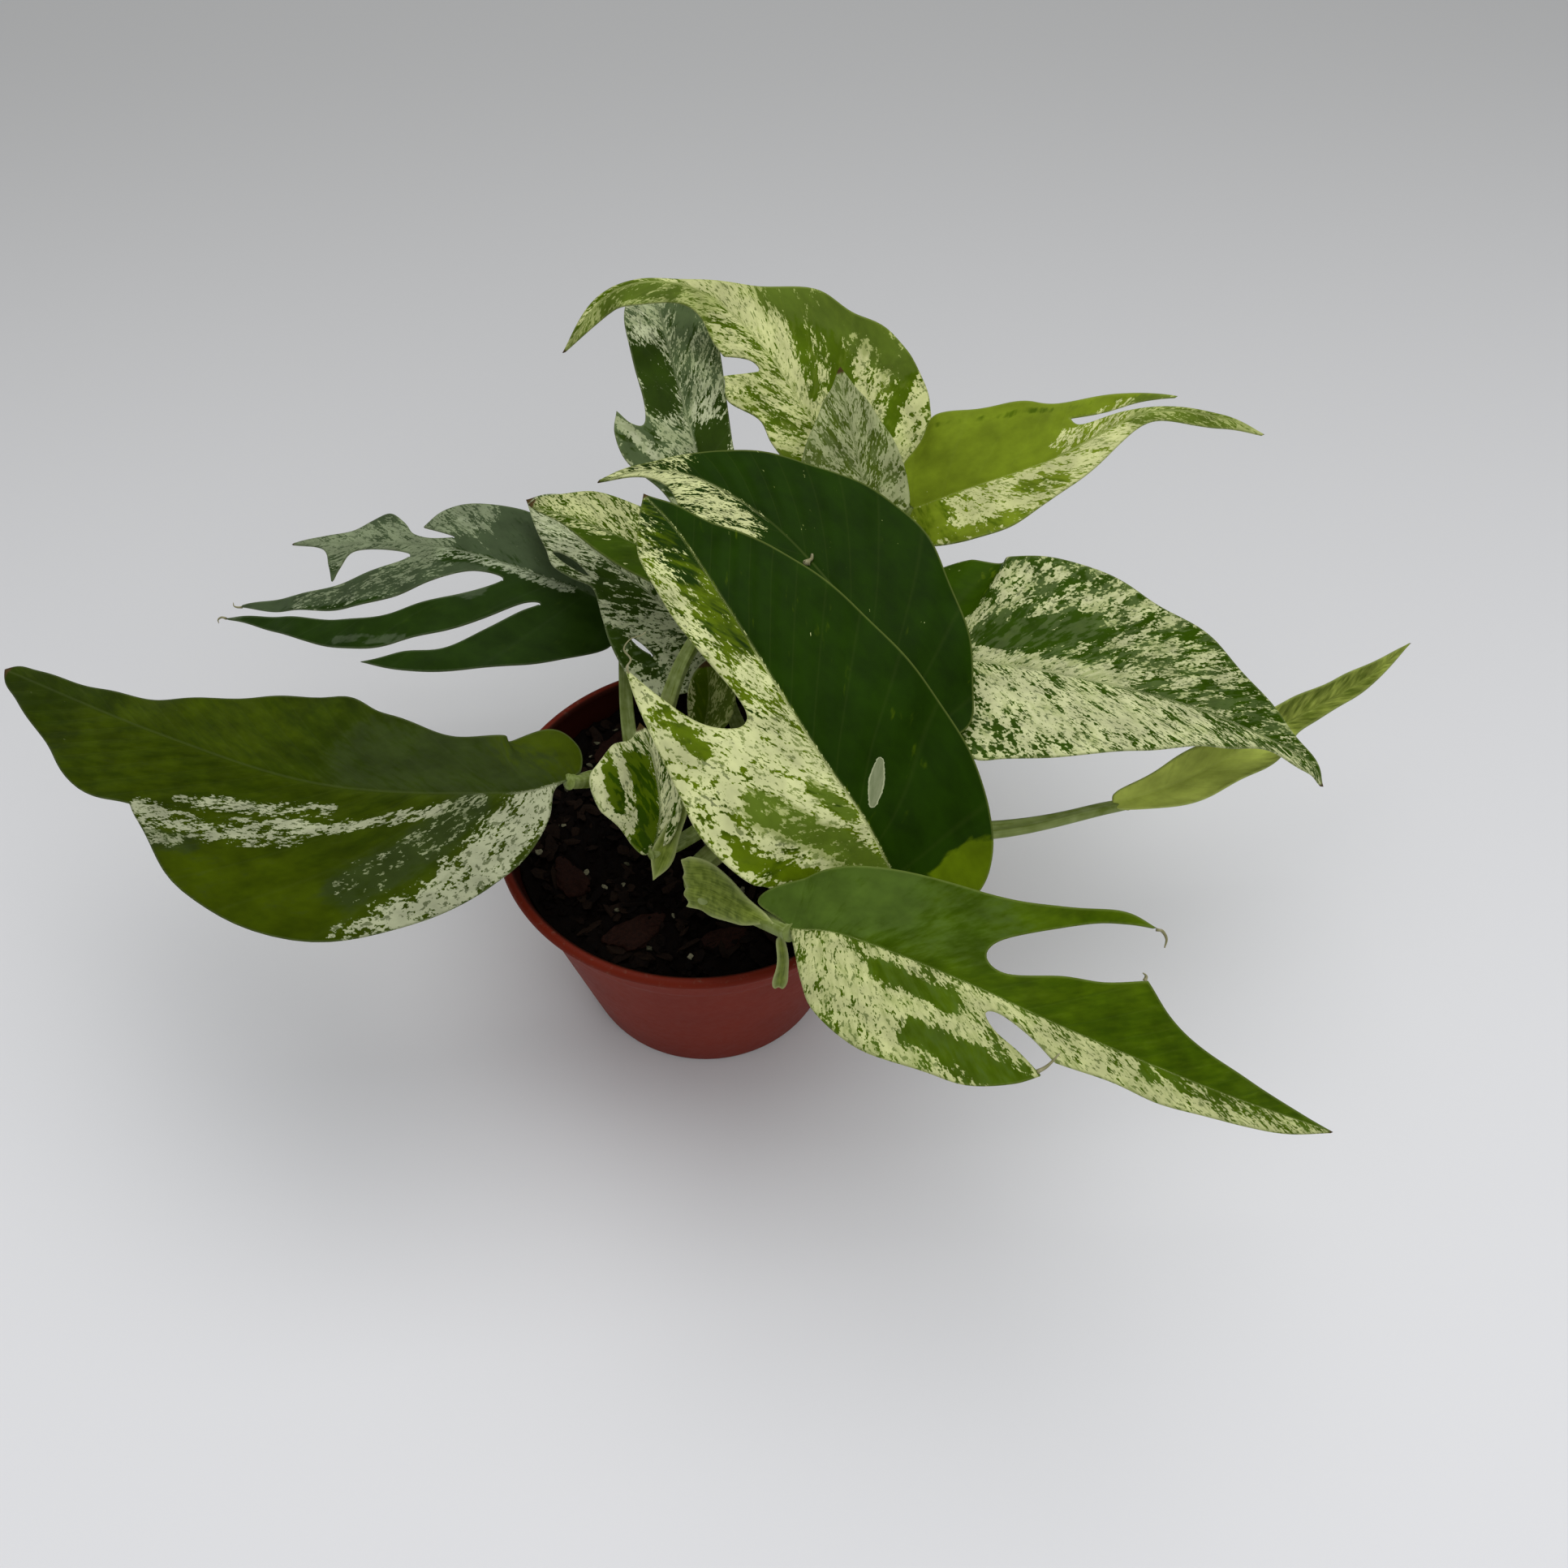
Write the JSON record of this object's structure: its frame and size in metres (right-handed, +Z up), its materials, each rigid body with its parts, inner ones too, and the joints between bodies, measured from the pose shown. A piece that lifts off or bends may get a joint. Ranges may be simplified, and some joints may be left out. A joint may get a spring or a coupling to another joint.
{
  "type": "potted pothos plant",
  "caption": "Small potted climbing houseplant with marbled green and cream lobed leaves spreading over the rim of a tapered plastic nursery pot filled with bark soil.",
  "frame": {"origin": "centre of the pot's base, on the surface it stands on", "axes": "+Z up along the pot's axis, +X to the plant's right, -Y to its front, the side where the soil shows"},
  "size_m": [0.3917, 0.262, 0.1485],
  "materials": {
    "pot_plastic": "satin, terracotta-coloured injection-moulded polypropylene",
    "potting_mix": "damp, crumbly bark and peat mix",
    "bark": "rough, dark and damp",
    "stem_green": "smooth living plant stem",
    "leaf_green": "smooth waxy leaf, green marbled with cream"
  },
  "bodies": {
    "root": {"bark_back": "bark", "bark_front": "bark", "bark_left": "bark", "bark_middle": "bark", "bark_right": "bark", "leaf_back_right": "leaf_green", "leaf_back_small": "leaf_green", "leaf_back_top": "leaf_green", "leaf_back_upright": "leaf_green", "leaf_behind_big": "leaf_green", "leaf_front_big": "leaf_green", "leaf_front_right": "leaf_green", "leaf_left_fingered": "leaf_green", "leaf_long_left": "leaf_green", "leaf_mid_grey": "leaf_green", "leaf_mid_tongue": "leaf_green", "leaf_right_marbled": "leaf_green", "leaf_small_cupped": "leaf_green", "leaf_small_folded": "leaf_green", "leaf_young_rolled": "leaf_green", "pot": "pot_plastic", "soil": "potting_mix", "stalk_back_right": "stem_green", "stalk_back_small": "stem_green", "stalk_back_top": "stem_green", "stalk_back_upright": "stem_green", "stalk_behind_big": "stem_green", "stalk_front_big": "stem_green", "stalk_front_right": "stem_green", "stalk_left_fingered": "stem_green", "stalk_long_left": "stem_green", "stalk_mid_grey": "stem_green", "stalk_mid_tongue": "stem_green", "stalk_right_marbled": "stem_green", "stalk_small_cupped": "stem_green", "stalk_small_folded": "stem_green", "stalk_young_rolled": "stem_green", "stem_back": "stem_green", "stem_front": "stem_green", "stem_left": "stem_green"}
  },
  "joints": []
}
